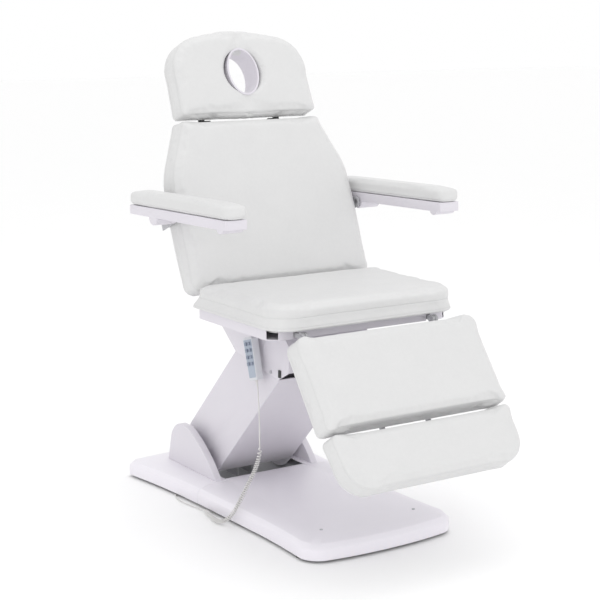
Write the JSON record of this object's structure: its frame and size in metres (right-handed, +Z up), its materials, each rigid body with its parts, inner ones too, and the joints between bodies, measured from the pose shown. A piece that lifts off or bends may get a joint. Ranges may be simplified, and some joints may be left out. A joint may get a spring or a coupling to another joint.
{
  "type": "facial treatment bed",
  "caption": "Reclining facial treatment bed on a powered lift arm: padded seat and back, headrest with face hole, drop leg rest, extending foot rest, level armrests and a corded handset.",
  "frame": {"origin": "centre of the bounding box on the floor", "axes": "+X to the occupant's left as seen from the front (the pictured right-hand armrest), +Y from the foot rest towards the headrest, +Z up"},
  "size_m": [0.816, 1.3201, 1.4659],
  "materials": {
    "vinyl": "satin white upholstery vinyl",
    "moulding": "satin white moulded plastic",
    "frame_paint": "light grey powder coat",
    "bright_steel": "turned steel",
    "dark_steel": "black painted steel",
    "board_cover": "white lining vinyl over plywood",
    "panel": "grey-blue membrane",
    "dark_plastic": "black moulded plastic",
    "cap": "grey plastic caps",
    "black_rubber": "black rubber",
    "cord": "light grey cable sheath"
  },
  "bodies": {
    "base": {"base_frame": "frame_paint", "front_cover": "moulding", "rear_cover": "moulding", "left_fin_cover": "moulding", "right_fin_cover": "moulding", "levelling_feet": "black_rubber", "main_shaft": "bright_steel", "link_pin_lower": "bright_steel", "control_box": "dark_plastic", "power_inlet": "dark_plastic", "cord_gland": "dark_plastic", "cover_caps": "cap", "cord_lead": "cord", "cord_curl": "cord", "cord_tail": "cord"},
    "lift_arm": {"lift_arm_cover": "moulding", "lift_beams": "frame_paint", "upper_shaft": "bright_steel"},
    "level_link": {"levelling_link": "frame_paint"},
    "carriage": {"carriage_frame": "frame_paint", "carriage_cover": "moulding", "buffer": "black_rubber", "cheek_caps": "cap", "handset_body": "moulding", "key_panel": "panel"},
    "seat": {"seat_frame": "frame_paint", "seat_pan": "moulding", "seat_board": "board_cover", "seat_cushion": "vinyl", "leg_hinge_pins": "bright_steel", "back_hinge_pins": "bright_steel"},
    "back": {"back_frame": "frame_paint", "back_board": "board_cover", "back_cushion": "vinyl", "head_hinge_lower": "dark_steel", "head_hinge_pins": "bright_steel", "rest_pins": "bright_steel"},
    "head": {"head_board": "board_cover", "head_cushion": "vinyl", "face_hole_ring": "moulding", "head_hinge_upper": "dark_steel"},
    "leg": {"leg_frame": "frame_paint", "leg_board": "board_cover", "leg_cushion": "vinyl"},
    "foot": {"foot_frame": "frame_paint", "foot_board": "board_cover", "foot_cushion": "vinyl"},
    "left_armrest": {"left_rest_shell": "moulding", "left_rest_pad": "vinyl"},
    "right_armrest": {"right_rest_shell": "moulding", "right_rest_pad": "vinyl"},
    "key_down_1": {"key_down_1": "panel"},
    "key_down_2": {"key_down_2": "panel"},
    "key_down_3": {"key_down_3": "panel"},
    "key_down_4": {"key_down_4": "panel"},
    "key_up_1": {"key_up_1": "panel"},
    "key_up_2": {"key_up_2": "panel"},
    "key_up_3": {"key_up_3": "panel"},
    "key_up_4": {"key_up_4": "panel"}
  },
  "joints": [
    {"name": "lift", "type": "hinge", "parent": "base", "child": "lift_arm", "pos_m": [0, 0.412, 0.128], "axis": [-1, 0, 0], "range_deg": [-27.5, 8], "deforming": ["cord_lead", "cord_curl", "cord_tail"]},
    {"name": "carriage_level", "type": "hinge", "parent": "lift_arm", "child": "carriage", "pos_m": [0, 0.08257, 0.46323], "axis": [-1, 0, 0], "range_deg": [-8, 27.5]},
    {"name": "link_level", "type": "hinge", "parent": "base", "child": "level_link", "pos_m": [0, 0.467, 0.163], "axis": [-1, 0, 0], "range_deg": [-27.5, 8]},
    {"name": "seat_tilt", "type": "hinge", "parent": "carriage", "child": "seat", "pos_m": [0, 0.142, 0.62], "axis": [-1, 0, 0], "range_deg": [0, 15]},
    {"name": "back_recline", "type": "hinge", "parent": "seat", "child": "back", "pos_m": [0, 0.166, 0.662], "axis": [1, 0, 0], "range_deg": [-68.5, 6]},
    {"name": "head_tilt", "type": "hinge", "parent": "back", "child": "head", "pos_m": [0, 0.41108, 1.16844], "axis": [1, 0, 0], "range_deg": [-45, 0]},
    {"name": "leg_raise", "type": "hinge", "parent": "seat", "child": "leg", "pos_m": [0, -0.303, 0.633], "axis": [-1, 0, 0], "range_deg": [-15, 54]},
    {"name": "foot_extend", "type": "slide", "parent": "leg", "child": "foot", "axis": [0, -0.5878, -0.809], "range_m": [0, 0.1]},
    {"name": "left_arm_level", "type": "hinge", "parent": "back", "child": "left_armrest", "pos_m": [-0.341, 0.23, 0.915], "axis": [1, 0, 0], "range_deg": [-6, 68.5]},
    {"name": "right_arm_level", "type": "hinge", "parent": "back", "child": "right_armrest", "pos_m": [0.341, 0.23, 0.915], "axis": [1, 0, 0], "range_deg": [-6, 68.5]},
    {"name": "press_key_down_1", "type": "slide", "parent": "carriage", "child": "key_down_1", "axis": [1, 0, 0], "range_m": [0, 0.0008], "stiffness_N_per_m": 900},
    {"name": "press_key_down_2", "type": "slide", "parent": "carriage", "child": "key_down_2", "axis": [1, 0, 0], "range_m": [0, 0.0008], "stiffness_N_per_m": 900},
    {"name": "press_key_down_3", "type": "slide", "parent": "carriage", "child": "key_down_3", "axis": [1, 0, 0], "range_m": [0, 0.0008], "stiffness_N_per_m": 900},
    {"name": "press_key_down_4", "type": "slide", "parent": "carriage", "child": "key_down_4", "axis": [1, 0, 0], "range_m": [0, 0.0008], "stiffness_N_per_m": 900},
    {"name": "press_key_up_1", "type": "slide", "parent": "carriage", "child": "key_up_1", "axis": [1, 0, 0], "range_m": [0, 0.0008], "stiffness_N_per_m": 900},
    {"name": "press_key_up_2", "type": "slide", "parent": "carriage", "child": "key_up_2", "axis": [1, 0, 0], "range_m": [0, 0.0008], "stiffness_N_per_m": 900},
    {"name": "press_key_up_3", "type": "slide", "parent": "carriage", "child": "key_up_3", "axis": [1, 0, 0], "range_m": [0, 0.0008], "stiffness_N_per_m": 900},
    {"name": "press_key_up_4", "type": "slide", "parent": "carriage", "child": "key_up_4", "axis": [1, 0, 0], "range_m": [0, 0.0008], "stiffness_N_per_m": 900}
  ],
  "couplings": [
    {"joint": "carriage_level", "follows": "lift", "ratio": -1},
    {"joint": "link_level", "follows": "lift", "ratio": 1},
    {"joint": "left_arm_level", "follows": "back_recline", "ratio": -1},
    {"joint": "right_arm_level", "follows": "back_recline", "ratio": -1}
  ]
}
